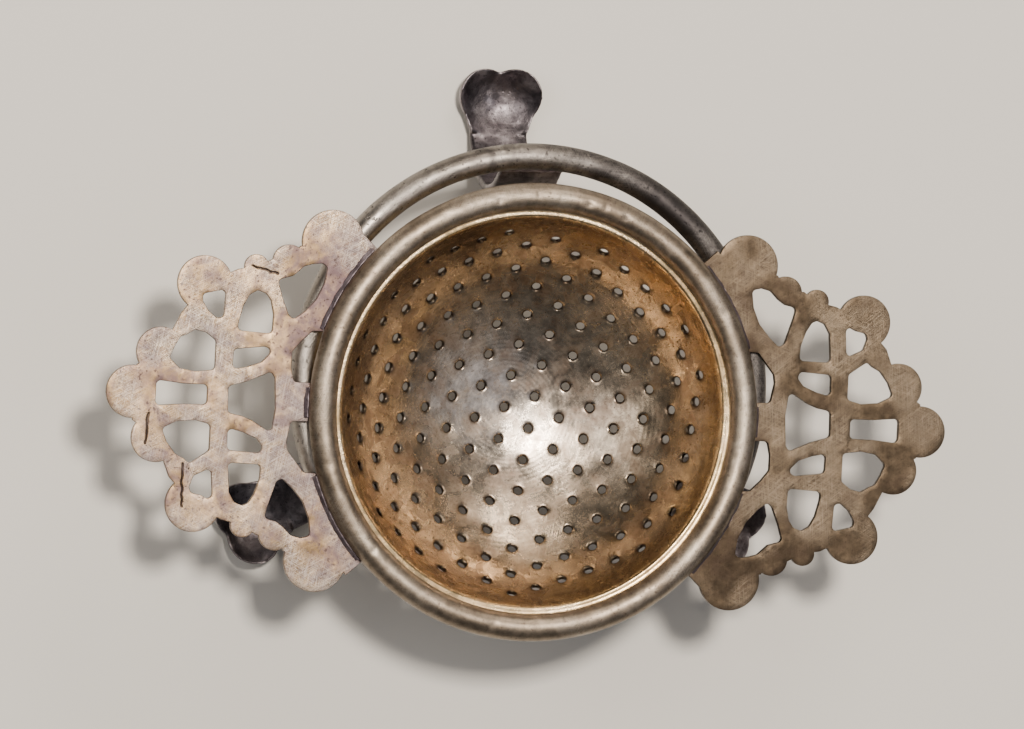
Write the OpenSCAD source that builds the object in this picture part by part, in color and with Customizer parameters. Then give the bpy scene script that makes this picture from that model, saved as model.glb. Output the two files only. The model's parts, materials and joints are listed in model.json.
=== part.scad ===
// Two-handled tea strainer resting in its three-legged ring stand.
// Millimetres, +Z up, handles along X, the back leg towards +Y, the table at z = 0.

/* [Rim] */
// Radius of the rolled bead's centre circle
rim_r = 34.5; // [29:0.5:42]
// Radius of the bead's own round section
bead_r = 2.25; // [1.8:0.05:2.8]
// Thickness of the rolled sheet
bead_wall = 0.5; // [0.4:0.05:0.7]

/* [Bowl] */
// Width of the lip, from the bead's centre circle in to the bowl's wall
lip_w = 3.5; // [3:0.1:4.5]
// Inside depth below the bead's centre plane
bowl_depth = 21.5; // [18:0.5:26]
// How far the bottom bulges below the curve of the wall
bottom_sag = 4.15; // [3:0.05:5.5]
// How far the wall leans in from upright, in degrees
wall_lean = 12; // [6:1:16]
// Thickness of the bowl's sheet
bowl_wall = 0.55; // [0.4:0.05:0.8]
// Height of the flared lip between the wall and the bead
lip_drop = 1.9; // [1.5:0.1:2.5]

/* [Perforations] */
// Diameter of each punched hole
hole_d = 1.35; // [1:0.05:2]
// Spacing of the holes along the sheet
hole_pitch = 5.3; // [4.2:0.1:6.5]
// Turn of the rows of holes from the handles' axis, in degrees
hole_row_angle = 21.2; // [0:0.1:60]
// How far the middle hole lies off the bowl's axis, along X and along Y
hole_off_x = -0.3; // [-1:0.05:1]
hole_off_y = 0.1; // [-1:0.05:1]
// Width of the plain band left under the lip
plain_band = 4.7; // [3:0.1:9]

/* [Handles] */
// Length of a handle beyond the bead
handle_l = 32.2; // [26:0.1:40]
// Half the span of the two root lobes' centres
root_half_w = 25.4; // [21:0.1:30.5]
// Thickness of the plate
plate_t = 1.1; // [0.8:0.05:1.6]
// Radius of the root lobes
root_lobe_r = 5; // [4:0.1:6]
// Radius of the corner lobes
corner_lobe_r = 4.4; // [3.6:0.1:5]
// Radius of the shoulder lobes beside the tip
side_lobe_r = 3.9; // [3.2:0.1:4.5]
// Radius of the tip lobe
tip_lobe_r = 4.2; // [3.5:0.1:4.9]
// Radius of the small scallop beside each root lobe
scallop_r = 2.65; // [2.2:0.05:3.2]
// Radius of the small bump beyond each scallop
bump_r = 1.95; // [1.6:0.05:2.4]
// Width of the root arms that follow the bead
arm_w = 3.2; // [2.5:0.1:4]
// Rounding of the corners of the pierced windows
window_round = 0.7; // [0.3:0.05:0.8]
// Width of the solder fillet on top of the plate
solder_w = 0.9; // [0.5:0.05:1.3]
// Gap between the bead and the plate's edge, filled by the solder
solder_gap = 0.15; // [0.05:0.05:0.3]

/* [Stand] */
// How much larger the ring's centre circle is than the bead's
ring_over = 2.65; // [2:0.05:4.2]
// Radius of the ring's rod
rod_r = 2.15; // [1.7:0.05:2.7]
// Height of the ring's centre above the table
ring_h = 30; // [25:0.5:38]
// Gap kept between the strainer and the stand where they touch
rest_gap = 0.1; // [0.05:0.05:0.3]
// Gap kept between the bowl's wall and the front of the ring
side_gap = 0.2; // [0.1:0.05:0.5]
// How far the stand is turned under the strainer, in degrees
stand_turn = 1.8; // [0:0.1:15]

/* [Legs] */
// Thickness of the leg strip
leg_t = 1.5; // [1.2:0.1:2]
// Width of the strip where it meets the ring
leg_top_w = 10.4; // [8:0.1:13]
// Width of the strip at its neck above the foot
neck_w = 9.6; // [8:0.1:11]
// How far the strip bows inwards of the ring's centre circle
leg_bow = 5.2; // [3:0.1:7]
// Distance of the sole's centre beyond the ring's centre circle
foot_out = 8.6; // [7:0.1:10.5]
// Radius under the dished foot
dish_r = 10; // [8.5:0.1:12]
// Radius of the two round lobes of the foot's lip
toe_lobe_r = 4.6; // [3.9:0.1:5.4]
// Half the distance between the two lobes' centres
toe_half_gap = 2.4; // [2:0.1:2.9]
// Distance of the lobes' centres beyond the sole's centre
toe_out = 1.7; // [1:0.1:2.2]
// Thickness of the dished foot
foot_t = 1.2; // [1:0.1:1.6]
// Depth worn off under the sole
sole_wear = 0.15; // [0.1:0.05:0.3]

/* [Hidden] */

silver = "#b9b3a4";
gilt = "#b08a4f";
dull_silver = "#9a9186";
tarnish = "#5c5350";
solder_grey = "#7d7680";

// Bowl section: the wall's curve has its centre at (shoulder_x, shoulder_z), measured from the
// rim's plane. The bottom's curve is centred on the axis and meets the wall's curve at
// bottom_angle from straight down.
bowl_r = rim_r - lip_w;
shoulder_r = (bowl_depth - lip_drop - bottom_sag) / (1 - sin(wall_lean));
shoulder_x = bowl_r - shoulder_r * cos(wall_lean);
shoulder_z = shoulder_r * sin(wall_lean) - lip_drop;
shoulder_h = shoulder_z + bowl_depth;
bottom_r = (shoulder_x ^ 2 + shoulder_h ^ 2 - shoulder_r ^ 2) / (2 * (shoulder_h - shoulder_r));
bottom_z = bottom_r - bowl_depth;
bottom_angle = atan2(shoulder_x, bottom_z - shoulder_z);
bottom_arc = bottom_r * bottom_angle * PI / 180;
shoulder_arc = shoulder_r * (90 - wall_lean - bottom_angle) * PI / 180;
pierced_reach = bottom_arc + shoulder_arc - plain_band;
// The lip starts a little down the wall, so that the two overlap, and runs into the bead.
lap = 0.3;
lap_angle = 1;
wall_top = [bowl_r, -lip_drop];
wall_out = bowl_wall * [cos(wall_lean), -sin(wall_lean)];
lip_root = wall_top - lap * [sin(wall_lean), cos(wall_lean)];
lip_top = [rim_r - 0.7 * bead_r, -0.2 * bead_r];
lip_under = [rim_r - 0.6 * bead_r, -0.5 * bead_r];
drill_past = 1;

// How the strainer sits: its plane is rim_h above the table and it has slid forward by slide
// until the bowl's wall meets the ring.
touch_r = shoulder_r + bowl_wall + rod_r + side_gap;
ring_r = rim_r + ring_over;
side_room = ring_r - shoulder_x;
bead_seat = rod_r + bead_r + rest_gap;
bowl_seat = side_room < touch_r ? sqrt(touch_r ^ 2 - side_room ^ 2) - shoulder_z : 0;
seat = max(bead_seat, bowl_seat);
slide = side_room - sqrt(touch_r ^ 2 - (seat + shoulder_z) ^ 2);
rim_h = ring_h + seat;

// The origin is under the middle of the whole outline.
rim_out = rim_r + bead_r;
sole_r = ring_r + foot_out;
foot_reach = (sole_r + toe_out) * cos(stand_turn) + toe_half_gap * sin(stand_turn) + toe_lobe_r;
stand_y = (slide + rim_out - foot_reach) / 2;
strainer_y = stand_y - slide;

// Handle outline, in millimetres from the bead's outer edge, as drawn for a handle of
// drawn_l by drawn_w. It was cut by hand, so its two halves differ a little: for the right
// handle a is the half towards +Y and b the other.
drawn_l = 32.2;
drawn_w = 25.4;
tip_x = handle_l - tip_lobe_r;
plate_edge_r = rim_r + sqrt(bead_r ^ 2 - (bead_r - plate_t) ^ 2) + solder_gap;
root_end = 43;

function drawn(x, y) = [rim_out + x * handle_l / drawn_l, y * root_half_w / drawn_w];

// The lobes' centres from the root to the tip, with the points where the outline dips between them
lobe_radii = [root_lobe_r, scallop_r, bump_r, corner_lobe_r, side_lobe_r];
a_outline = [
    drawn(-2.4, 25.1), drawn(2.7, 23.8), drawn(4.2, 21.1), drawn(7.2, 21.4), drawn(9.5, 19.9),
    drawn(12.8, 19.2), drawn(17.6, 16.9), drawn(21.6, 12.7), drawn(24, 6.6), drawn(27.8, 4)
];
b_outline = [
    drawn(-2.9, -25.7), drawn(2.3, -24.7), drawn(4, -22.2), drawn(6.5, -22.5), drawn(9.2, -21.1),
    drawn(12, -20.6), drawn(17.3, -18.1), drawn(20.8, -13.3), drawn(23.8, -7), drawn(27.5, -4.8)
];
tip_lobe = [rim_out + tip_x, drawn(0, -0.5).y];

// Windows of each half: inside the corner lobe, the arch, inside the root lobe, between the
// cross bars, outer, and beside the bead
a_windows = [
    [
        drawn(14.5, 16.3), drawn(16.4, 15.4), drawn(18, 15.1), drawn(18.3, 14.2), drawn(17.7, 12.4),
        drawn(14.9, 11)
    ],
    [
        drawn(12.3, 10.1), drawn(7, 10.2), drawn(7.1, 12.5), drawn(7.9, 14.9), drawn(8.8, 16.4),
        drawn(9.7, 16.8), drawn(11, 16.3), drawn(11.9, 14.8)
    ],
    [
        drawn(3.5, 12.2), drawn(1.8, 13.7), drawn(0, 15.8), drawn(-1.1, 18.4), drawn(-1.5, 21.2),
        drawn(0.1, 21.6), drawn(1.7, 21.2), drawn(3, 19.9), drawn(4.2, 19.1), drawn(6.1, 18.7),
        drawn(5.7, 17), drawn(4.4, 12.8)
    ],
    [
        drawn(12.6, 4.6), drawn(10.1, 5.2), drawn(7.9, 6.1), drawn(6.8, 7.4), drawn(7.3, 8.4),
        drawn(12.5, 8.1)
    ],
    [
        drawn(15.4, 4.2), drawn(17.8, 3.6), drawn(20.8, 3.9), drawn(23.1, 5.1), drawn(22.2, 7.2),
        drawn(20.8, 9), drawn(19.4, 9.7), drawn(18.5, 10.5), drawn(16.9, 9.4), drawn(15.4, 8.3)
    ],
    [
        drawn(-4, 3.1), drawn(2.5, 3.1), drawn(3.1, 6.3), drawn(2.9, 7.7), drawn(1.4, 9.6),
        drawn(0.1, 11.2), drawn(-4, 11.2)
    ]
];
b_windows = [
    [
        drawn(17.6, -16.4), drawn(14.3, -17.2), drawn(13.9, -16.7), drawn(14.1, -12.8),
        drawn(15.2, -12.7), drawn(16.6, -13.8), drawn(17.5, -15.3)
    ],
    [
        drawn(6.2, -10.6), drawn(11.8, -10.9), drawn(11.6, -12.5), drawn(11, -14.9),
        drawn(10.1, -16.6), drawn(8.8, -17.4), drawn(7.4, -16.9), drawn(6.6, -15.8),
        drawn(6.1, -13.6)
    ],
    [
        drawn(2.9, -13), drawn(1.2, -14.3), drawn(-0.6, -16.3), drawn(-1.8, -18.9),
        drawn(-2.2, -21.6), drawn(-1.4, -22.1), drawn(0.3, -21.9), drawn(1.6, -21.5),
        drawn(3.3, -19.9), drawn(5.7, -19.2), drawn(4.9, -16.6), drawn(3.7, -13.7)
    ],
    [
        drawn(12.2, -7.9), drawn(7.3, -8.5), drawn(6.3, -8.2), drawn(6.4, -7.4), drawn(7.7, -6),
        drawn(9.9, -5.2), drawn(12.3, -4.7)
    ],
    [
        drawn(22.4, -6.1), drawn(21.7, -7.8), drawn(20.8, -9.5), drawn(19.9, -9.8),
        drawn(18.5, -10.7), drawn(16.7, -10.3), drawn(15.1, -9.1), drawn(15.1, -4.5),
        drawn(18.2, -4.1), drawn(20.7, -4.5)
    ],
    [
        drawn(-4, -3.1), drawn(2.4, -3.1), drawn(2.9, -5.4), drawn(2.9, -7.8), drawn(1.6, -9.5),
        drawn(-0.2, -11.3), drawn(-4, -11.3)
    ]
];
// Windows on the handle's own axis, beside the tip and in the middle
tip_window = [
    drawn(16.1, 1.1), drawn(19.8, 1.1), drawn(24.3, 1.5), drawn(24.3, -2.5), drawn(20, -2.1),
    drawn(16.1, -2.1)
];
middle_window = [
    drawn(5.1, 1.2), drawn(5.5, 4.6), drawn(6.2, 4.8), drawn(8.7, 3.3), drawn(10.5, 2.6),
    drawn(12.7, 2.2), drawn(12.8, -2), drawn(9.8, -2.9), drawn(6, -4.6), drawn(5.4, -3.6)
];

// Handle solder: it fills the corner under the bead between these heights and radii, along the
// spine's stub and along the two arms.
solder_low = 0.3 - bead_r;
solder_top = -0.12 * bead_r;
solder_in = rim_r + 0.4 * bead_r;
solder_up = rim_r + 0.985 * bead_r;
stub_end = asin(drawn(0, 3.1).y / plate_edge_r) - lap_angle;
arm_start = asin(drawn(0, 11.5).y / plate_edge_r);

// Leg: the strip follows the circle through the rod's centre, the waist and the heel.
waist_height = 0.56 * ring_h;
heel_back = 3.3;
foot_back = 4.4;
waist = [ring_r - leg_bow, waist_height];
heel = [sole_r - heel_back, foot_t];

function circle_centre(a, b, c) =
    let (
        d = 2 * (a.x * (b.y - c.y) + b.x * (c.y - a.y) + c.x * (a.y - b.y)),
        aa = a * a,
        bb = b * b,
        cc = c * c
    )
    [
        (aa * (b.y - c.y) + bb * (c.y - a.y) + cc * (a.y - b.y)) / d,
        (aa * (c.x - b.x) + bb * (a.x - c.x) + cc * (b.x - a.x)) / d
    ];

leg_centre = circle_centre([ring_r, ring_h], waist, heel);
leg_r = norm(leg_centre - waist);
// Direction from the strip's centre to the rod
rod_angle = atan2(ring_h - leg_centre.y, ring_r - leg_centre.x);
leg_solder_w = 0.8;
leg_solder_reach = 0.7;
leg_solder_inset = 0.2;
big = 200;

$fn = 96;

// Section helpers

module ring_section(centre, r_in, r_out) {
    translate(centre) difference() {
        circle(r_out);
        circle(r_in);
    }
}

// Wedge from straight down round to an angle, drawn from a centre
module wedge(centre, from_angle, to_angle) {
    step = (to_angle - from_angle) / 2;
    translate(centre)
        polygon([
            [0, 0],
            for (i = [0:2]) big * [sin(from_angle + step * i), -cos(from_angle + step * i)]
        ]);
}

module torus(centre_r, r) {
    rotate_extrude($fn = 240) translate([centre_r, 0]) circle(r);
}

module seated() {
    translate([0, strainer_y, rim_h]) children();
}

module standing(angle = 0) {
    translate([0, stand_y, 0]) rotate([0, 0, angle]) children();
}

// Bowl

module bowl_section() {
    intersection() {
        ring_section([0, bottom_z], bottom_r, bottom_r + bowl_wall);
        wedge([0, bottom_z], 0, bottom_angle + lap_angle);
    }
    intersection() {
        ring_section([shoulder_x, shoulder_z], shoulder_r, shoulder_r + bowl_wall);
        wedge([shoulder_x, shoulder_z], bottom_angle, 90 - wall_lean);
    }
    difference() {
        polygon([
            lip_root + 0.1 * wall_out, lip_root + wall_out, wall_top + wall_out, lip_under,
            lip_top, wall_top
        ]);
        translate([rim_r, 0]) circle(bead_r);
    }
}

// A drill square to the sheet, at a length of sheet and a direction from the bowl's centre
module sheet_drill(length, direction) {
    on_bottom = length < bottom_arc;
    angle = on_bottom ? length / bottom_r * 180 / PI
        : bottom_angle + (length - bottom_arc) / shoulder_r * 180 / PI;
    centre = on_bottom ? [0, bottom_z] : [shoulder_x, shoulder_z];
    inner_r = on_bottom ? bottom_r : shoulder_r;
    rotate([0, 0, direction])
        translate([centre.x, 0, centre.y])
            rotate([0, 180 - angle, 0])
                translate([0, 0, inner_r - drill_past])
                    cylinder(h = bowl_wall + 2 * drill_past, d = hole_d, $fn = 24);
}

module bowl() {
    rows = ceil(pierced_reach / hole_pitch) + 1;
    color(gilt)
        seated()
            difference() {
                rotate_extrude() bowl_section();
                for (i = [-rows:rows], j = [-rows:rows]) {
                    p = [hole_off_x, hole_off_y] + hole_pitch * [
                        i * cos(hole_row_angle) + j * cos(hole_row_angle + 60),
                        i * sin(hole_row_angle) + j * sin(hole_row_angle + 60)
                    ];
                    if (norm(p) <= pierced_reach) sheet_drill(norm(p), atan2(p.y, p.x));
                }
            }
}

// Rim

module rim_bead() {
    color(silver) seated() rotate_extrude() ring_section([rim_r, 0], bead_r - bead_wall, bead_r);
}

module rim_wire() {
    color(dull_silver) seated() torus(rim_r, bead_r - bead_wall);
}

// Handles

module outline() {
    for (half = [a_outline, b_outline], i = [0:4]) translate(half[2 * i]) circle(lobe_radii[i]);
    translate(tip_lobe) circle(tip_lobe_r);
    polygon(concat(
        [[0, -1]], b_outline, [tip_lobe + [0, -1], tip_lobe + [0, 1]],
        [for (i = [len(a_outline) - 1:-1:0]) a_outline[i]], [[0, 1]]
    ));
    intersection() {
        circle(rim_out + arm_w);
        polygon([[0, 0], big * [cos(root_end), -sin(root_end)], big * [cos(root_end), sin(root_end)]]);
    }
}

module windows() {
    for (window = concat(a_windows, b_windows, [tip_window, middle_window])) polygon(window);
}

module handle() {
    translate([0, 0, -bead_r])
        linear_extrude(plate_t)
            difference() {
                outline();
                circle(plate_edge_r);
                offset(r = window_round, $fn = 24) offset(delta = -window_round) windows();
            }
}

// Solder run in the corner between the bead and the plate, over an arc
module solder_run(from_angle, to_angle) {
    plate_top = plate_t - bead_r;
    rotate([0, 0, from_angle])
        rotate_extrude(angle = to_angle - from_angle)
            difference() {
                polygon([
                    [solder_in, solder_low], [plate_edge_r, solder_low],
                    [plate_edge_r, plate_top], [plate_edge_r + solder_w, plate_top],
                    [solder_up, solder_top], [solder_in, solder_top]
                ]);
                translate([rim_r, 0]) circle(bead_r);
            }
}

module handle_solder() {
    arm_end = root_end - lap_angle;
    solder_run(-stub_end, stub_end);
    solder_run(arm_start, arm_end);
    solder_run(-arm_end, -arm_start);
}

module left_handle() {
    color(silver) seated() rotate([0, 0, 180]) handle();
}

module right_handle() {
    color(dull_silver) seated() handle();
}

module left_handle_solder() {
    color(solder_grey) seated() rotate([0, 0, 180]) handle_solder();
}

module right_handle_solder() {
    color(solder_grey) seated() handle_solder();
}

// Stand

module rod() {
    translate([0, 0, ring_h]) torus(ring_r, rod_r);
}

module stand_ring() {
    color(dull_silver) standing() rod();
}

module upright(w) {
    rotate([90, 0, 0]) translate([0, 0, -w / 2]) linear_extrude(w) children();
}

module strip() {
    intersection() {
        upright(leg_top_w) intersection() {
            ring_section(leg_centre, leg_r - leg_t / 2, leg_r + leg_t / 2);
            polygon([
                leg_centre, heel + (heel - leg_centre), [0, 0], [0, ring_h],
                [ring_r, ring_h]
            ]);
        }
        // Seen from outside, the strip tapers from the ring to the neck.
        rotate([90, 0, 90])
            linear_extrude(big)
                polygon([
                    [-neck_w / 2, 0], [neck_w / 2, 0], [leg_top_w / 2, ring_h],
                    [-leg_top_w / 2, ring_h]
                ]);
    }
}

module foot() {
    intersection() {
        translate([sole_r, 0, dish_r - sole_wear]) rotate([90, 0, 0]) difference() {
            sphere(dish_r);
            sphere(dish_r - foot_t);
        }
        linear_extrude(dish_r / 2) {
            for (side = [-1, 1])
                translate([sole_r + toe_out, side * toe_half_gap]) circle(toe_lobe_r);
            polygon([
                [sole_r - foot_back, -neck_w / 2],
                [sole_r + toe_out, -toe_half_gap - toe_lobe_r],
                [sole_r + toe_out, toe_half_gap + toe_lobe_r],
                [sole_r - foot_back, neck_w / 2]
            ]);
        }
    }
}

module leg() {
    difference() {
        union() {
            strip();
            foot();
        }
        rod();
    }
}

module leg_solder() {
    difference() {
        upright(leg_top_w - 2 * leg_solder_inset)
            translate([ring_r, ring_h])
                rotate(rod_angle + 90)
                    polygon([
                        [rod_r - leg_solder_reach, -leg_t / 2 - leg_solder_w],
                        [rod_r + leg_solder_reach, -leg_t / 2],
                        [rod_r + leg_solder_reach, leg_t / 2],
                        [rod_r - leg_solder_reach, leg_t / 2 + leg_solder_w]
                    ]);
        rod();
        strip();
    }
}

module back_leg() {
    color(tarnish) standing(90 + stand_turn) leg();
}

module left_leg() {
    color(tarnish) standing(210 + stand_turn) leg();
}

module right_leg() {
    color(tarnish) standing(330 + stand_turn) leg();
}

module back_leg_solder() {
    color(solder_grey) standing(90 + stand_turn) leg_solder();
}

module left_leg_solder() {
    color(solder_grey) standing(210 + stand_turn) leg_solder();
}

module right_leg_solder() {
    color(solder_grey) standing(330 + stand_turn) leg_solder();
}

bowl();
rim_bead();
rim_wire();
left_handle();
right_handle();
left_handle_solder();
right_handle_solder();
stand_ring();
back_leg();
left_leg();
right_leg();
back_leg_solder();
left_leg_solder();
right_leg_solder();
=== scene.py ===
import bpy
import bmesh
import json
import math
import random
from mathutils import Matrix, Vector, noise

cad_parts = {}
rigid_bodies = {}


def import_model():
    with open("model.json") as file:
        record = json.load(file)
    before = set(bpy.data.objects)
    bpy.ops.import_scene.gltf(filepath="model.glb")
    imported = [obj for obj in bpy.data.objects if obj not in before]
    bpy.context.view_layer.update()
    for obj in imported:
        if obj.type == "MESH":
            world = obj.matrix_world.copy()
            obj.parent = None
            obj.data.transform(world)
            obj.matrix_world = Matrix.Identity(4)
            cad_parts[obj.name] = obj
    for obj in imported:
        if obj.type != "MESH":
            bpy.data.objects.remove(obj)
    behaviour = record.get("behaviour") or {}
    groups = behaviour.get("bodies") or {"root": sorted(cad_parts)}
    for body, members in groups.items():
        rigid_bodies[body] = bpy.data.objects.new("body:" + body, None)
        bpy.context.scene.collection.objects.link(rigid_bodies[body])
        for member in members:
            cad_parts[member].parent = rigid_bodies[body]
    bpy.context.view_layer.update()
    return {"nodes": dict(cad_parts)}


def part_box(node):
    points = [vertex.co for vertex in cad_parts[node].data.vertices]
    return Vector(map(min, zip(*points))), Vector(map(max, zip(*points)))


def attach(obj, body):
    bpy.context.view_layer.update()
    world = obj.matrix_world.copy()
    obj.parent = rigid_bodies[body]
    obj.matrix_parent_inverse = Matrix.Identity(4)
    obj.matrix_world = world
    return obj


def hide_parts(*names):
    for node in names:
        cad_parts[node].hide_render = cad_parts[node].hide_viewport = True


mm = 0.001

for leftOver in list(bpy.data.objects):
    bpy.data.objects.remove(leftOver)
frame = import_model()
print("frame loaded:", len(frame["nodes"]), "nodes")


def middleOf(node):
    low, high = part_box(node)
    return (low + high) / 2


rimMiddle = middleOf("rim_bead")
standMiddle = middleOf("stand_ring")


# ---- nodes and colours ----
def linear(hexColour):
    values = [int(hexColour[i : i + 2], 16) / 255 for i in (1, 3, 5)]
    return [v / 12.92 if v <= 0.04045 else ((v + 0.055) / 1.055) ** 2.4 for v in values] + [1]


def addNode(tree, kind, settings={}, links={}):
    node = tree.nodes.new(kind)
    for key, value in settings.items():
        if key == "stops":
            elements = node.color_ramp.elements
            while len(elements) < len(value):
                elements.new(1)
            for element, (place, colour) in zip(elements, value):
                element.position = place
                element.color = linear(colour) if isinstance(colour, str) else (colour, colour, colour, 1)
        elif isinstance(key, int) or key in node.inputs:
            node.inputs[key].default_value = value
        else:
            setattr(node, key, value)
    for key, source in links.items():
        tree.links.new(source.outputs[0] if hasattr(source, "outputs") else source, node.inputs[key])
    return node


# how the layers of wear are mixed, the same for every metal
weather = {
    "driftStops": (0.3, 0.5, 0.7),
    "radiusShare": 0.85,
    "mottleStops": [(0.3, 0.25), (0.52, 0.62), (0.7, 1.0)],
    # where tarnish starts, is half there and is full, before a metal's own shift
    "tarnishStops": [(0.5, 0.0), (0.62, 0.55), (0.74, 1.0)],
    "speckStops": [(0.60, 0.0), (0.67, 1.0)],
    "scratchStops": [(0.46, 0.0), (0.5, 1.0), (0.54, 0.0)],
    "scratchPatch": 1.3,
    "scratchPatchStops": [(0.42, 0.1), (0.6, 1.0)],
    "spinTint": 0.1,
    "speckRoughness": 0.2,
    "bumpStrength": 0.6,
}


def wornMetal(name, look):
    # old plated metal: a base colour that drifts, tarnish in clouds and specks, hairline scratches
    material = bpy.data.materials.new(name)
    material.use_nodes = True
    tree = material.node_tree
    shader = tree.nodes["Principled BSDF"]
    shader.inputs["Metallic"].default_value = 1
    place = addNode(tree, "ShaderNodeTexCoord").outputs["Object"]
    centred = addNode(
        tree,
        "ShaderNodeMapping",
        {"vector_type": "POINT", "Location": [-v for v in look["centre"]]},
        {"Vector": place},
    )
    seed = look["seed"]

    def cloud(size, detail, roughness, distortion=0.0, source=centred):
        return addNode(
            tree,
            "ShaderNodeTexNoise",
            {
                "noise_dimensions": "4D",
                "W": seed,
                "Scale": 1 / (size * mm),
                "Detail": detail,
                "Roughness": roughness,
                "Distortion": distortion,
            },
            {"Vector": source},
        ).outputs["Fac"]

    def ramp(source, stops):
        return addNode(tree, "ShaderNodeValToRGB", {"stops": stops}, {"Fac": source}).outputs["Color"]

    def blend(amount, under, over, mode="MIX"):
        settings = {"data_type": "RGBA", "blend_type": mode}
        links = {}
        for key, value in ((0, amount), (6, under), (7, over)):
            if isinstance(value, str):
                settings[key] = linear(value)
            elif isinstance(value, (int, float)):
                settings[key] = value
            else:
                links[key] = value
        return addNode(tree, "ShaderNodeMix", settings, links).outputs[2]

    def maths(operation, first, second=0.0, clamp=False):
        settings, links = {"operation": operation, "use_clamp": clamp}, {}
        for key, value in ((0, first), (1, second)):
            if isinstance(value, (int, float)):
                settings[key] = value
            else:
                links[key] = value
        return addNode(tree, "ShaderNodeMath", settings, links).outputs[0]

    # distance from the upright axis through the centre, in millimetres
    flat = addNode(tree, "ShaderNodeVectorMath", {"operation": "MULTIPLY", 1: (1, 1, 0)}, {0: centred})
    length = addNode(tree, "ShaderNodeVectorMath", {"operation": "LENGTH"}, {0: flat})
    radius = maths("MULTIPLY", length.outputs["Value"], 1000)

    # base colour drifts over several millimetres
    drift = cloud(look["driftSize"], 4, 0.55, 0.6)
    colour = ramp(drift, list(zip(weather["driftStops"], look["base"])))
    if "byRadius" in look:
        # a second colour by the distance from the axis, its edge broken by the drift
        low, high = look["byRadius"]["range"]
        wander = maths("MULTIPLY", maths("SUBTRACT", drift, 0.5), look["byRadius"]["loose"])
        loose = maths("ADD", radius, wander)
        share = maths("DIVIDE", maths("SUBTRACT", loose, low), high - low, True)
        colour = blend(weather["radiusShare"], colour, ramp(share, look["byRadius"]["stops"]))
    mottle = cloud(look["mottleSize"], 6, 0.65, 0.3)
    colour = blend(look["mottle"], colour, ramp(mottle, weather["mottleStops"]), "OVERLAY")

    # tarnish: clouds, then small specks, gathered where the seam is
    tarnishField = cloud(look["tarnishSize"], 7, 0.62, 0.8)
    if "seam" in look:
        seamStart, seamWidth, seamAmount = look["seam"]
        beyond = maths("DIVIDE", maths("SUBTRACT", radius, seamStart), seamWidth, True)
        near = maths("SUBTRACT", 1, beyond, True)
        tarnishField = maths("ADD", tarnishField, maths("MULTIPLY", near, seamAmount))
    if "lessTarnishedSide" in look:
        # the side towards the given direction gets less tarnish and stays brighter
        side = addNode(
            tree, "ShaderNodeVectorMath", {"operation": "DOT_PRODUCT", 1: look["lessTarnishedSide"][0]}, {0: centred}
        ).outputs["Value"]
        tarnishField = maths("SUBTRACT", tarnishField, maths("MULTIPLY", side, look["lessTarnishedSide"][1]))
    tarnish = ramp(tarnishField, [(at - look["tarnishShift"], much) for at, much in weather["tarnishStops"]])
    colour = blend(maths("MULTIPLY", tarnish, look["tarnish"]), colour, look["tarnishColour"])
    specks = ramp(cloud(look["speckSize"], 3, 0.5), weather["speckStops"])
    specks = maths("MULTIPLY", specks, look["specks"])
    colour = blend(specks, colour, look["speckColour"])

    # hairline scratches, each direction a noise drawn out along one axis
    scratchSum = None
    for turn, (angle, across, along) in enumerate(look["scratchRuns"]):
        turned = addNode(
            tree,
            "ShaderNodeMapping",
            {
                "vector_type": "TEXTURE",
                "Rotation": (0, 0, math.radians(angle)),
                "Scale": (along * mm, across * mm, along * mm),
            },
            {"Vector": centred},
        )
        streak = addNode(
            tree,
            "ShaderNodeTexNoise",
            {"noise_dimensions": "4D", "W": seed + turn + 1, "Scale": 1.0, "Detail": 2, "Roughness": 0.5},
            {"Vector": turned},
        ).outputs["Fac"]
        line = ramp(streak, weather["scratchStops"])
        scratchSum = line if scratchSum is None else maths("MAXIMUM", scratchSum, line)
    scratchCloud = cloud(look["driftSize"] * weather["scratchPatch"], 2, 0.5)
    scratchPatches = ramp(scratchCloud, weather["scratchPatchStops"])
    scratches = maths("MULTIPLY", scratchSum, scratchPatches)
    colour = blend(maths("MULTIPLY", scratches, look["scratchTint"]), colour, look["scratchColour"])

    mottleHeight, scratchDepth, speckDepth = look["relief"]
    relief = maths("MULTIPLY", mottle, mottleHeight)
    relief = maths("ADD", relief, maths("MULTIPLY", scratches, -scratchDepth))
    relief = maths("ADD", relief, maths("MULTIPLY", specks, -speckDepth))
    if "spinMarks" in look:
        marks = addNode(
            tree,
            "ShaderNodeTexWave",
            {
                "wave_type": "RINGS",
                "rings_direction": "Z",
                "Scale": 0.314 / (look["spinMarks"][0] * mm),
                "Distortion": 1.5,
                "Detail": 3,
                "Detail Scale": 0.4,
            },
            {"Vector": centred},
        ).outputs["Fac"]
        relief = maths("ADD", relief, maths("MULTIPLY", marks, look["spinMarks"][1]))
        colour = blend(weather["spinTint"], colour, ramp(marks, [(0, 0.35), (1, 0.75)]), "OVERLAY")
    if "holeShadeAndCrackDark" in look:
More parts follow.
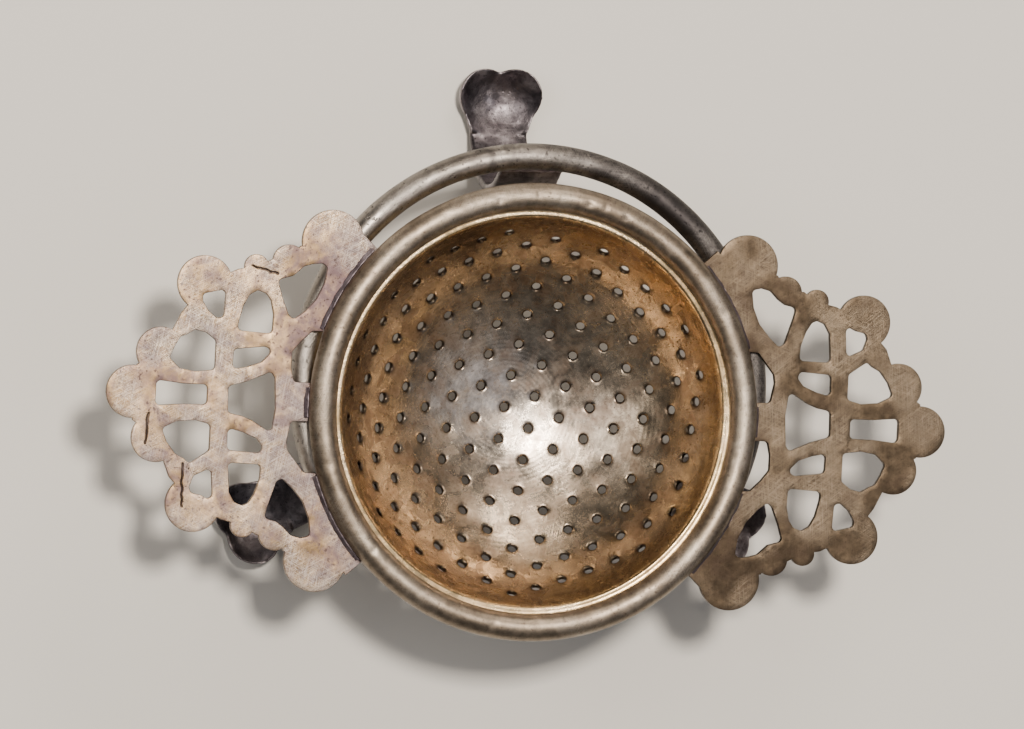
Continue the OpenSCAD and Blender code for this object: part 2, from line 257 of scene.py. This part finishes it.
        # painted shade in the punched holes of the bowl, near black; darker colour along the cracks of the
        # left plate
        holeShadeAndCrackMask = addNode(tree, "ShaderNodeAttribute", {"attribute_name": "nearHole"}).outputs["Fac"]
        holeShadeAndCrackMask = maths("MULTIPLY", holeShadeAndCrackMask, look["holeShadeAndCrackDark"][0])
        colour = blend(holeShadeAndCrackMask, colour, look["holeShadeAndCrackDark"][1])
    roughness = maths(
        "ADD",
        look["roughness"][0],
        maths("MULTIPLY", mottle, look["roughness"][1]),
    )
    roughness = maths("ADD", roughness, maths("MULTIPLY", tarnish, look["roughness"][2]))
    roughness = maths("ADD", roughness, maths("MULTIPLY", specks, weather["speckRoughness"]), True)
    bump = addNode(
        tree,
        "ShaderNodeBump",
        {"Strength": weather["bumpStrength"], "Distance": look["bumpHeight"] * mm},
        {"Height": relief},
    )
    tree.links.new(colour, shader.inputs["Base Color"])
    tree.links.new(roughness, shader.inputs["Roughness"])
    tree.links.new(bump.outputs["Normal"], shader.inputs["Normal"])
    return material


# Silver gilt, spun and pressed: warm gold-brown walls, the gilding worn to grey silver at the bottom
bowlMetal = wornMetal(
    "worn silver gilt",
    {
        "centre": rimMiddle,
        "seed": 3.0,
        "base": ("#877a6e", "#988c7f", "#a99e92"),
        "driftSize": 9,
        "byRadius": {
            "range": (4, 31.5),
            "loose": 14,
            "stops": [
                (0.0, "#a09890"),
                (0.4, "#a09384"),
                (0.7, "#9a8a75"),
                (0.88, "#907e67"),
                (1.0, "#bda274"),
            ],
        },
        "mottleSize": 1.7,
        "mottle": 0.85,
        "tarnishSize": 3.6,
        "tarnishShift": 0.07,
        "tarnish": 0.6,
        "tarnishColour": "#634838",
        "speckSize": 0.5,
        "specks": 0.5,
        "speckColour": "#4a3529",
        "scratchRuns": [(20, 0.12, 7), (75, 0.14, 9), (130, 0.12, 6)],
        "scratchTint": 0.45,
        "scratchColour": "#dccdb6",
        "relief": (0.5, 0.25, 0.3),
        "spinMarks": (0.7, 0.2),
        # painted shade: the inner rings of each hole turn near black
        "holeShadeAndCrackDark": (0.92, "#1d1510"),
        "roughness": (0.14, 0.12, 0.16),
        "bumpHeight": 0.03,
    },
)
# Silver plate worn thin over the rolled bead: warm grey with a brown film
beadMetal = wornMetal(
    "worn silver plate on the rolled bead",
    {
        "centre": rimMiddle,
        "seed": 11.0,
        "base": ("#6c6154", "#7f7365", "#93887a"),
        "driftSize": 8,
        "mottleSize": 1.4,
        "mottle": 0.6,
        "tarnishSize": 6,
        "tarnishShift": 0.0,
        "tarnish": 0.5,
        "tarnishColour": "#544538",
        "speckSize": 0.45,
        "specks": 0.55,
        "speckColour": "#4b3c33",
        "scratchRuns": [(10, 0.12, 5), (65, 0.12, 6), (120, 0.12, 5)],
        "scratchTint": 0.3,
        "scratchColour": "#d8cfc4",
        "relief": (0.5, 0.3, 0.5),
        "roughness": (0.33, 0.18, 0.16),
        "bumpHeight": 0.035,
    },
)
# Pierced silver plate, paler: partly worn pale, partly painted light, as if this handle were better lit;
# purple-grey tarnish gathers at the soldered seam
palePlate = wornMetal(
    "pale pierced silver plate with painted light",
    {
        "centre": rimMiddle,
        "seed": 23.0,
        "base": ("#56452f", "#735e45", "#988063"),
        "driftSize": 7,
        "mottleSize": 1.1,
        "mottle": 0.6,
        "tarnishSize": 3.2,
        "tarnishShift": 0.05,
        "seam": (36.6, 7, 0.2),
        "tarnish": 0.85,
        "tarnishColour": "#5e4d53",
        "speckSize": 0.5,
        "specks": 0.85,
        "speckColour": "#5e4d4a",
        "scratchRuns": [(30, 0.1, 7), (80, 0.12, 9), (150, 0.1, 6)],
        "scratchTint": 0.35,
        "scratchColour": "#efe7df",
        # darker colour along the cracks
        "holeShadeAndCrackDark": (0.85, "#33292a"),
        "relief": (0.5, 0.3, 0.5),
        "roughness": (0.3, 0.16, 0.16),
        "bumpHeight": 0.04,
    },
)
# The same plate on the other side, darker and browner: partly a brown film, partly painted shade, as if this
# handle were less lit
brownPlate = wornMetal(
    "brown film and painted shade on silver plate",
    {
        "centre": rimMiddle,
        "seed": 37.0,
        "base": ("#332a21", "#3f352a", "#504436"),
        "driftSize": 7,
        "mottleSize": 1.2,
        "mottle": 0.6,
        "tarnishSize": 3.4,
        "tarnishShift": -0.02,
        "seam": (36.6, 6, 0.15),
        "tarnish": 0.6,
        "tarnishColour": "#3a2f29",
        "speckSize": 0.4,
        "specks": 0.55,
        "speckColour": "#2c2420",
        "scratchRuns": [(40, 0.1, 7), (95, 0.12, 9), (160, 0.1, 6)],
        "scratchTint": 0.35,
        "scratchColour": "#a39481",
        "relief": (0.5, 0.3, 0.5),
        "roughness": (0.3, 0.16, 0.14),
        "bumpHeight": 0.04,
    },
)
# Drawn silver rod, blackened by sulphide, less so on one side
rodMetal = wornMetal(
    "tarnished silver rod",
    {
        "centre": standMiddle,
        "seed": 41.0,
        "base": ("#6f6963", "#837d77", "#99938d"),
        "driftSize": 9,
        "mottleSize": 1.2,
        "mottle": 0.45,
        "tarnishSize": 6,
        "tarnishShift": 0.24,
        "lessTarnishedSide": ((-0.97, 0.25, 0.1), 10.0),
        "tarnish": 0.9,
        "tarnishColour": "#2d2a2d",
        "speckSize": 0.55,
        "specks": 0.7,
        "speckColour": "#17141a",
        "scratchRuns": [(0, 0.12, 5), (60, 0.12, 6), (120, 0.12, 5)],
        "scratchTint": 0.3,
        "scratchColour": "#b5afa9",
        "relief": (0.5, 0.3, 0.9),
        "roughness": (0.28, 0.2, 0.12),
        "bumpHeight": 0.06,
    },
)
# Forged strip legs, almost black with tarnish but still smooth enough to shine
legMetal = wornMetal(
    "blackened silver strip",
    {
        "centre": standMiddle,
        "seed": 53.0,
        "base": ("#4c474b", "#6a6468", "#a7a0a4"),
        "driftSize": 4,
        "mottleSize": 1.3,
        "mottle": 0.5,
        "tarnishSize": 3.5,
        "tarnishShift": 0.05,
        "tarnish": 0.85,
        "tarnishColour": "#242126",
        "speckSize": 0.5,
        "specks": 0.6,
        "speckColour": "#131115",
        "scratchRuns": [(0, 0.12, 5), (60, 0.12, 6), (120, 0.12, 5)],
        "scratchTint": 0.35,
        "scratchColour": "#8f898a",
        "relief": (0.5, 0.3, 0.8),
        "roughness": (0.24, 0.2, 0.12),
        "bumpHeight": 0.06,
    },
)
# Soft solder: dull, lumpy, purple-grey, with pits
solderMetal = wornMetal(
    "dull soft solder",
    {
        "centre": rimMiddle,
        "seed": 67.0,
        "base": ("#7b7078", "#8d8288", "#9f959a"),
        "driftSize": 3,
        "mottleSize": 0.9,
        "mottle": 0.5,
        "tarnishSize": 2.5,
        "tarnishShift": 0.05,
        "tarnish": 0.6,
        "tarnishColour": "#50464c",
        "speckSize": 0.4,
        "specks": 0.7,
        "speckColour": "#342c30",
        "scratchRuns": [(15, 0.12, 3), (70, 0.12, 3), (140, 0.12, 3)],
        "scratchTint": 0.2,
        "scratchColour": "#b9b0b4",
        "relief": (0.8, 0.2, 0.8),
        "roughness": (0.4, 0.2, 0.15),
        "bumpHeight": 0.08,
    },
)
# Drawn brass wire inside the bead, dulled
wireMetal = wornMetal(
    "drawn brass core wire",
    {
        "centre": rimMiddle,
        "seed": 71.0,
        "base": ("#8f6f3a", "#a88648", "#bd9a58"),
        "driftSize": 5,
        "mottleSize": 1.0,
        "mottle": 0.3,
        "tarnishSize": 4,
        "tarnishShift": 0.0,
        "tarnish": 0.5,
        "tarnishColour": "#5b4526",
        "speckSize": 0.4,
        "specks": 0.3,
        "speckColour": "#3d2f1c",
        "scratchRuns": [(0, 0.1, 4), (90, 0.1, 4)],
        "scratchTint": 0.2,
        "scratchColour": "#d0b070",
        "relief": (0.3, 0.4, 0.3),
        "roughness": (0.3, 0.15, 0.1),
        "bumpHeight": 0.02,
    },
)
print("materials ready")


# ---- small helpers for meshes ----
meshCare = {"mergeWithin": 0.004, "refineRounds": 9, "sharpFrom": 50}


def mergedCopy(node):
    # the node's own mesh stays as it is
    source = frame["nodes"][node]
    bm = bmesh.new()
    bm.from_mesh(source.data)
    bm.transform(source.matrix_world)
    bmesh.ops.remove_doubles(bm, verts=bm.verts, dist=meshCare["mergeWithin"] * mm)
    return bm


def ripple(bm, verts, size, height, seed):
    # soft unevenness along the normals, from a seeded noise field
    bm.normal_update()
    shift = Vector((seed * 3.1, seed * 1.7, seed * 2.3))
    moves = [(vert, vert.normal * noise.noise(vert.co / size + shift) * height) for vert in verts]
    for vert, move in moves:
        vert.co += move


def refine(bm, mark, longest):
    # splits the marked faces' edges until none is longer than asked
    for turn in range(meshCare["refineRounds"]):
        edges = [
            edge
            for edge in bm.edges
            if edge.calc_length() > longest
            and edge.link_faces
            and all(face[mark] for face in edge.link_faces)
        ]
        if not edges:
            break
        bmesh.ops.subdivide_edges(bm, edges=edges, cuts=1)
        uneven = [face for face in bm.faces if face[mark] and len(face.verts) > 3]
        bmesh.ops.triangulate(bm, faces=uneven)


def extrudeRing(bm, edges, radius, height):
    # pulls a ring of edges out to a new radius and height about the upright axis
    made = bmesh.ops.extrude_edge_only(bm, edges=edges)["geom"]
    for vert in [item for item in made if isinstance(item, bmesh.types.BMVert)]:
        flat = Vector((vert.co.x, vert.co.y)).normalized() * radius
        vert.co = (flat.x, flat.y, height)
    return [item for item in made if isinstance(item, bmesh.types.BMEdge)]


def addPiece(bm, name, material, body, replaced, sharpFrom=meshCare["sharpFrom"]):
    bm.normal_update()
    for edge in bm.edges:
        edge.smooth = not (len(edge.link_faces) == 2 and edge.calc_face_angle(0) > math.radians(sharpFrom))
    for face in bm.faces:
        face.smooth = True
    mesh = bpy.data.meshes.new(name)
    bm.to_mesh(mesh)
    bm.free()
    mesh.materials.append(material)
    piece = bpy.data.objects.new(name, mesh)
    bpy.context.collection.objects.link(piece)
    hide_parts(*replaced)
    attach(piece, body)
    print("piece", name, len(mesh.polygons), "faces")
    return piece


# ---- bowl: a flat sheet is punched first, then pressed to its section ----
bowlSheet = {
    "mouthRadius": 31,
    "depth": 21.5,
    "curveRadius": 19.5,
    "wallLean": 12,
    "lipDrop": 1.9,
    "thickness": 0.55,
    "pitch": 5.3,
    "rowTurn": 21.2,
    "patternShift": (-0.3, 0.1),
    "plainBand": 4.7,
    "holeSides": 18,
    "cellTurn": 10,
    "punchReach": 1.6,
    # radius, depth and painted hole shade of each ring the punch leaves, from the inside round to the burr
    "punchRings": [
        (1.45, 0.0, 0.0),
        (1.05, 0.015, 0.25),
        (0.84, 0.06, 0.7),
        (0.72, 0.15, 1.0),
        (0.675, 0.28, 1.0),
        (0.665, 0.6, 1.0),
        (0.71, 0.69, 0.9),
        (0.86, 0.62, 0.5),
        (1.2, 0.55, 0.0),
    ],
    # radius and height of the lip's inner and outer side as they run into the bead
    "lipInside": [(31.2, -1.35), (31.42, -0.98), (31.7, -0.86), (31.98, -0.95), (32.3, -0.85), (33.2, -0.6)],
    "lipOutside": [(31.95, -1.75), (32.5, -1.45), (33.2, -1.2)],
    "lipSides": 216,
    "longestEdge": 1.5,
    "waveSize": 11,
    "waveHeight": 0.06,
    "waveFade": 5,
    "sharpFrom": 70,
}


def polar(radius, angle, height=0.0):
    return Vector((radius * math.cos(angle), radius * math.sin(angle), height))


def buildBowl(sheet):
    lean = math.radians(sheet["wallLean"])
    curve, depth, thickness = sheet["curveRadius"], sheet["depth"], sheet["thickness"]
    curveX = sheet["mouthRadius"] - curve * math.cos(lean)
    curveZ = curve * math.sin(lean) - sheet["lipDrop"]
    rise = curveZ + depth
    bottom = (curveX**2 + rise**2 - curve**2) / (2 * (rise - curve))
    bottomZ = bottom - depth
    bottomAngle = math.atan2(curveX, bottomZ - curveZ)
    bottomArc = bottom * bottomAngle
    sheetLength = bottomArc + curve * (math.pi / 2 - lean - bottomAngle)
    reach = sheetLength - sheet["plainBand"]

    def pressed(flat):
        # where a point of the flat sheet goes; its z is how far it lies above the inner face
        length = math.hypot(flat.x, flat.y)
        if length < bottomArc:
            angle, radius, middle = length / bottom, bottom, (0, bottomZ)
        else:
            angle, radius, middle = bottomAngle + (length - bottomArc) / curve, curve, (curveX, curveZ)
        fade = min(1, max(0, (sheetLength - length) / sheet["waveFade"]))
        wave = noise.noise(Vector((flat.x, flat.y, 40)) / sheet["waveSize"]) * sheet["waveHeight"] * fade
        arm = radius - flat.z + wave
        place = polar(middle[0] + arm * math.sin(angle), math.atan2(flat.y, flat.x))
        place.z = middle[1] - arm * math.cos(angle)
        return place

    # one punched cell: a six-sided outline drawn in, down through the hole and out again below
    turn = math.radians(sheet["rowTurn"])
    sides = sheet["holeSides"]

    def outlineRadius(angle):
        off = (angle - turn + math.pi / 6) % (math.pi / 3) - math.pi / 6
        return sheet["pitch"] / 2 / math.cos(off)

    cell = bmesh.new()
    holeShadeAndCrackMask = cell.verts.layers.float.new("nearHole")
    corner = bmesh.ops.create_circle(cell, cap_ends=False, radius=1, segments=sides)["verts"]
    for step, vert in enumerate(corner):
        angle = turn + math.radians(sheet["cellTurn"] + step * 360 / sides)
        vert.co = polar(outlineRadius(angle), angle)
    edges = cell.edges[:]
    # the rings inside each hole carry the painted shade
    for radius, down, holeShade in sheet["punchRings"] + [(None, thickness, 0.0)]:
        made = bmesh.ops.extrude_edge_only(cell, edges=edges)["geom"]
        edges = [item for item in made if isinstance(item, bmesh.types.BMEdge)]
        for vert in [item for item in made if isinstance(item, bmesh.types.BMVert)]:
            angle = math.atan2(vert.co.y, vert.co.x)
            vert.co = polar(radius or outlineRadius(angle), angle, -down)
            vert[holeShadeAndCrackMask] = holeShade
    cellMesh = bpy.data.meshes.new("punched cell")
    cell.to_mesh(cellMesh)
    cell.free()

    bm = bmesh.new()
    bm.verts.layers.float.new("nearHole")
    rows = math.ceil(reach / sheet["pitch"]) + 1
    holes = 0
    for i in range(-rows, rows + 1):
        for j in range(-rows, rows + 1):
            site = Vector((*sheet["patternShift"], 0))
            site += polar(sheet["pitch"] * i, turn) + polar(sheet["pitch"] * j, turn + math.pi / 3)
            if site.length > reach:
                continue
            holes += 1
            first = len(bm.verts)
            bm.from_mesh(cellMesh)
            bm.verts.ensure_lookup_table()
            outward = site.normalized()
            sideways = Vector((-outward.y, outward.x, 0))
            # pressing narrows the rings far from the middle, so the flat holes start wider
            angleHere = bottomAngle + (site.length - bottomArc) / curve
            ringRadius = curveX + curve * math.sin(angleHere)
            if site.length < bottomArc:
                ringRadius = bottom * math.sin(site.length / bottom)
            widen = site.length / ringRadius - 1
            for vert in bm.verts[first:]:
                share = 1 if vert.co.xy.length < sheet["punchReach"] else 0
                vert.co += sideways * vert.co.dot(sideways) * widen * share + site
    bmesh.ops.remove_doubles(bm, verts=bm.verts, dist=0.01)
    print("bowl:", holes, "holes punched")

    # the plain band round the pattern, on both faces of the sheet
    mark = bm.faces.layers.int.new("band")
    for level in (0, -thickness):
        inner = [e for e in bm.edges if e.is_boundary and abs(e.verts[0].co.z - level) < 0.1]
        rim = bmesh.ops.create_circle(
            bm,
            cap_ends=False,
            radius=sheetLength,
            segments=sheet["lipSides"],
            matrix=Matrix.Translation((0, 0, level)),
        )["verts"]
        outer = list({edge for vert in rim for edge in vert.link_edges})
        filled = bmesh.ops.triangle_fill(bm, use_beauty=True, edges=inner + outer, normal=(0, 0, 1))
        for item in filled["geom"]:
            if isinstance(item, bmesh.types.BMFace):
                item[mark] = 1
    refine(bm, mark, sheet["longestEdge"])
    for vert in bm.verts:
        vert.co = pressed(vert.co)
    rims = [edge for edge in bm.edges if edge.is_boundary]
    split = sheet["mouthRadius"] + thickness / 2
    lastRings = []
    for rings, inside in ((sheet["lipInside"], True), (sheet["lipOutside"], False)):
        edges = [edge for edge in rims if (edge.verts[0].co.xy.length < split) == inside]
        for radius, height in rings:
            edges = extrudeRing(bm, edges, radius, height)
        lastRings += edges
    bmesh.ops.bridge_loops(bm, edges=lastRings)
    bmesh.ops.recalc_face_normals(bm, faces=bm.faces)
    bm.transform(Matrix.Translation(rimMiddle) @ Matrix.Scale(mm, 4))
    return bm


addPiece(
    buildBowl(bowlSheet),
    "bowlSheet",
    bowlMetal,
    "strainer",
    ["bowl"],
    bowlSheet["sharpFrom"],
)


# ---- rolled bead and stand ring: a round section spun about the upright axis ----
bead = {
    "centreRadius": 34.5,
    "radius": 2.25,
    "sectionSteps": 36,
    "turnSteps": 600,
    "waves": [(9, 0.05), (2.6, 0.03)],
    "seed": 5,
    # direction round the rim, direction round the section, half width along, half width across, depth
    "nicks": [
        (103, 92, 0.55, 0.5, 0.2),
        (92.5, 80, 0.4, 0.6, 0.16),
        (78.6, 96, 0.6, 0.45, 0.2),
        (74, 84, 0.35, 0.5, 0.14),
        (68, 100, 0.5, 0.5, 0.16),
        (118, 86, 0.5, 0.7, 0.12),
        (131, 100, 0.9, 0.9, 0.1),
        (196, 80, 0.8, 0.9, 0.1),
        (222, 95, 0.5, 0.5, 0.14),
        (261, 88, 0.7, 0.8, 0.1),
        (305, 92, 0.5, 0.6, 0.12),
        (348, 78, 0.8, 0.7, 0.1),
        (30, 88, 0.6, 0.6, 0.12),
    ],
}
ring = {
    "centreRadius": 37.15,
    "radius": 2.15,
    "sectionSteps": 32,
    "turnSteps": 560,
    "waves": [(8, 0.05), (1.8, 0.03)],
    "seed": 8,
    "nicks": [],
}
# corrosion pits, thickest on the more tarnished side
pits = {
    "seed": 12,
    "count": 60,
    "gathered": 40,
    "middle": 40,
    "spread": 35,
    "size": (0.25, 0.6),
    "deep": (0.05, 0.14),
}
random.seed(pits["seed"])
for count in range(pits["count"]):
    gathered = count < pits["gathered"]
    where = random.gauss(pits["middle"], pits["spread"]) if gathered else random.uniform(0, 360)
    size = random.uniform(*pits["size"])
    ring["nicks"].append((where, random.uniform(20, 160), size, size, random.uniform(*pits["deep"])))


def buildRound(shape, middle):
    bm = bmesh.new()
    out, thick = shape["centreRadius"], shape["radius"]
    upright = Matrix.Translation((out, 0, 0)) @ Matrix.Rotation(math.pi / 2, 4, "X")
    bmesh.ops.create_circle(bm, cap_ends=False, radius=thick, segments=shape["sectionSteps"], matrix=upright)
    bmesh.ops.spin(
        bm,
        geom=bm.verts[:] + bm.edges[:],
        axis=(0, 0, 1),
        angle=2 * math.pi,
        steps=shape["turnSteps"],
        use_merge=True,
    )
    bmesh.ops.recalc_face_normals(bm, faces=bm.faces)
    bm.normal_update()
    moves = []
    for vert in bm.verts:
        heading = math.degrees(math.atan2(vert.co.y, vert.co.x))
        section = math.degrees(math.atan2(vert.co.z, vert.co.xy.length - out))
        sink = 0
        for where, around, along, across, deep in shape["nicks"]:
            turned = math.radians((heading - where + 180) % 360 - 180) * out / along
            tipped = math.radians((section - around + 180) % 360 - 180) * thick / across
            if abs(turned) < 3 and abs(tipped) < 3:
                sink += deep * math.exp(-(turned**2) - tipped**2)
        for size, height in shape["waves"]:
            # only inwards, so that the piece stays within its drawn size
            sink += height * (0.5 + 0.5 * noise.noise(vert.co / size + Vector((shape["seed"], 0, 0))))
        moves.append((vert, vert.normal * -sink))
    for vert, move in moves:
        vert.co += move
    bm.transform(Matrix.Translation(middle) @ Matrix.Scale(mm, 4))
    return bm


addPiece(buildRound(bead, rimMiddle), "rolledBead", beadMetal, "strainer", ["rim_bead"])
addPiece(buildRound(ring, standMiddle), "standRing", rodMetal, "stand", ["stand_ring"])

# ---- handles: the pierced plate with its sawn edges rounded over ----
plate = {
    "edgeRound": 0.3,
    "edgeSteps": 3,
    "longestEdge": 1.3,
    "waves": [(6, 0.05), (2.2, 0.02)],
    # hairline cracks in the left plate, each from one end to the other, from the middle of the rim
    "cracks": [
        ((-46.6, 21.2), (-42.6, 20.0)),
        ((-62.1, -2.9), (-62.4, -7.6)),
        ((-56.3, -10.6), (-56.1, -17.4)),
    ],
    "crackWidth": 0.13,
    "crackDepth": 0.16,
    "crackMesh": 0.15,
    "crackReach": 1.3,
    "crackWander": (1.1, 0.25),
}


def crackDistance(place, crack):
    # how far a point lies from a crack, which wanders a little
    start, end = Vector(crack[0]), Vector(crack[1])
    wanderSize, wanderWidth = plate["crackWander"]
    wander = noise.noise(Vector((place.x, place.y, 7)) / wanderSize) * wanderWidth
    point = place.xy + Vector((wander, wander))
    along = end - start
    share = max(0, min(1, (point - start).dot(along) / along.length_squared))
    return (point - start - along * share).length


def buildHandle(node, seed, cracks=()):
    bm = mergedCopy(node)
    mark = bm.faces.layers.int.new("flat")
    cracked = bm.faces.layers.int.new("cracked")
    holeShadeAndCrackMask = bm.verts.layers.float.new("nearHole")
    bmesh.ops.dissolve_limit(bm, angle_limit=math.radians(1), verts=bm.verts, edges=bm.edges)
    bm.normal_update()
    rim = [
        edge
        for edge in bm.edges
        if len(edge.link_faces) == 2
        and edge.calc_face_angle(0) > math.radians(60)
        and abs(edge.verts[0].co.z - edge.verts[1].co.z) < 0.01 * mm
    ]
    bmesh.ops.bevel(
        bm,
        geom=rim,
        affect="EDGES",
        offset=plate["edgeRound"] * mm,
        segments=plate["edgeSteps"],
        profile=0.5,
        material=-1,
        clamp_overlap=True,
    )
    bm.normal_update()
    flats = [face for face in bm.faces if abs(face.normal.z) > 0.999]
    for face in flats:
        face[mark] = 1
    bmesh.ops.triangulate(bm, faces=[face for face in flats if len(face.verts) > 3])
    refine(bm, mark, plate["longestEdge"] * mm)
    inner = [v for v in bm.verts if v.link_faces and all(face[mark] for face in v.link_faces)]
    for size, height in plate["waves"]:
        ripple(bm, inner, size * mm, height * mm, seed)
    bm.normal_update()
    for crack in cracks:
        for face in bm.faces:
            middle = (face.calc_center_median() - rimMiddle) / mm
            if face[mark] and face.normal.z > 0.9 and crackDistance(middle, crack) < plate["crackReach"]:
                face[cracked] = 1
    refine(bm, cracked, plate["crackMesh"] * mm)
    for vert in bm.verts:
        if vert.link_faces and all(face[cracked] for face in vert.link_faces):
            near = min(crackDistance((vert.co - rimMiddle) / mm, crack) for crack in cracks)
            vert[holeShadeAndCrackMask] = math.exp(-((near / plate["crackWidth"]) ** 2))
            vert.co.z -= plate["crackDepth"] * mm * vert[holeShadeAndCrackMask]
    return bm


addPiece(
    buildHandle("left_handle", 1, plate["cracks"]),
    "leftHandle",
    palePlate,
    "strainer",
    ["left_handle"],
)
addPiece(
    buildHandle("right_handle", 2),
    "rightHandle",
    brownPlate,
    "strainer",
    ["right_handle"],
)


# ---- legs and solder: the same forms with softened, uneven surfaces ----
softForms = {
    "legs": {"voxel": 0.22, "smoothing": 14, "waves": [(5, 0.06), (1.5, 0.035)]},
    "legSolder": {"voxel": 0.12, "smoothing": 5, "waves": [(1.6, 0.16), (0.6, 0.05)]},
    "handleSolder": {"voxel": 0.11, "smoothing": 4, "waves": [(1.8, 0.16), (0.7, 0.06)]},
}


def buildSoft(node, form, seed):
    bm = mergedCopy(node)
    mesh = bpy.data.meshes.new(node + " soft")
    bm.to_mesh(mesh)
    bm.free()
    holder = bpy.data.objects.new(node + " soft", mesh)
    bpy.context.collection.objects.link(holder)
    remesh = holder.modifiers.new("even", "REMESH")
    remesh.mode = "VOXEL"
    remesh.voxel_size = form["voxel"] * mm
    evaluated = holder.evaluated_get(bpy.context.evaluated_depsgraph_get())
    bm = bmesh.new()
    bm.from_mesh(evaluated.to_mesh())
    bpy.data.objects.remove(holder)
    for turn in range(form["smoothing"]):
        bmesh.ops.smooth_vert(
            bm, verts=bm.verts, factor=0.5, use_axis_x=True, use_axis_y=True, use_axis_z=True
        )
    for size, height in form["waves"]:
        ripple(bm, bm.verts, size * mm, height * mm, seed)
    # nothing goes below the table
    for vert in bm.verts:
        vert.co.z = max(vert.co.z, 0)
    return bm


for number, side in enumerate(("back", "left", "right")):
    addPiece(
        buildSoft(side + "_leg", softForms["legs"], 3 + number),
        side + "Leg",
        legMetal,
        "stand",
        [side + "_leg"],
    )
    addPiece(
        buildSoft(side + "_leg_solder", softForms["legSolder"], 13 + number),
        side + "LegSolder",
        solderMetal,
        "stand",
        [side + "_leg_solder"],
    )
for number, side in enumerate(("left", "right")):
    addPiece(
        buildSoft(side + "_handle_solder", softForms["handleSolder"], 23 + number),
        side + "HandleSolder",
        solderMetal,
        "strainer",
        [side + "_handle_solder"],
    )
wire = frame["nodes"]["rim_wire"]
wire.data.materials.clear()
wire.data.materials.append(wireMetal)

# ---- floor, light and camera ----
studio = {
    "floor": "#d8d5cf",
    "floorSize": 1.5,
    "floorDrop": 0.0002,
    "world": ("#c9c8c6", 0.24),
    # direction from the object, distance, size and power of each light
    "lights": [
        ("key", (-0.03, 0.22, 0.97), 0.95, 0.1, 12.5, "#fff4e6"),
        ("soft", (-0.62, 0.12, 0.78), 1.1, 0.55, 2.8, "#fff8f0"),
        ("fill", (0.5, -0.15, 0.86), 1.1, 0.8, 1.4, "#f4f5ff"),
        ("back", (0.16, 0.8, 0.56), 1.1, 0.4, 4.5, "#fff2e2"),
    ],
}
cameraSet = {
    "yaw": 12.5,
    "pitch": 1.0,
    "roll": 2.85,
    "distance": 0.8,
    "lens": 175.8,
    "side": -3.68,
    "up": 7.66,
}

floorBm = bmesh.new()
bmesh.ops.create_grid(floorBm, x_segments=4, y_segments=4, size=studio["floorSize"])
floorMesh = bpy.data.meshes.new("floor")
floorBm.to_mesh(floorMesh)
floorBm.free()
floor = bpy.data.objects.new("floor", floorMesh)
floor.location.z = -studio["floorDrop"]
bpy.context.collection.objects.link(floor)
paper = bpy.data.materials.new("matt paper")
paper.use_nodes = True
paper.node_tree.nodes["Principled BSDF"].inputs["Base Color"].default_value = linear(studio["floor"])
paper.node_tree.nodes["Principled BSDF"].inputs["Roughness"].default_value = 0.9
floorMesh.materials.append(paper)

world = bpy.data.worlds.new("studio")
world.use_nodes = True
world.node_tree.nodes["Background"].inputs["Color"].default_value = linear(studio["world"][0])
world.node_tree.nodes["Background"].inputs["Strength"].default_value = studio["world"][1]
bpy.context.scene.world = world


def aim(thing, forward):
    thing.rotation_euler = Vector(forward).to_track_quat("-Z", "Y").to_euler()


for name, direction, distance, size, power, tint in studio["lights"]:
    data = bpy.data.lights.new(name, "AREA")
    data.size = size
    data.energy = power
    data.color = linear(tint)[:3]
    light = bpy.data.objects.new(name, data)
    light.location = rimMiddle + Vector(direction).normalized() * distance
    aim(light, -Vector(direction))
    bpy.context.collection.objects.link(light)

yaw, pitch, roll = (math.radians(cameraSet[key]) for key in ("yaw", "pitch", "roll"))
forward = Vector((math.sin(yaw) * math.cos(pitch), -math.sin(pitch), -math.cos(yaw) * math.cos(pitch)))
right = Vector((math.cos(yaw), 0, math.sin(yaw)))
up = right.cross(forward)
# the camera is turned about its own view line
rightTurned = right * math.cos(roll) + up * math.sin(roll)
upTurned = up * math.cos(roll) - right * math.sin(roll)
cameraData = bpy.data.cameras.new("camera")
cameraData.lens = cameraSet["lens"]
cameraData.sensor_width = 36
cameraData.clip_start = 0.05
camera = bpy.data.objects.new("camera", cameraData)
turnMatrix = Matrix((rightTurned, upTurned, -forward)).transposed().to_4x4()
spot = rimMiddle - forward * cameraSet["distance"]
spot += rightTurned * cameraSet["side"] * mm + upTurned * cameraSet["up"] * mm
camera.matrix_world = Matrix.Translation(spot) @ turnMatrix
bpy.context.collection.objects.link(camera)
bpy.context.scene.camera = camera
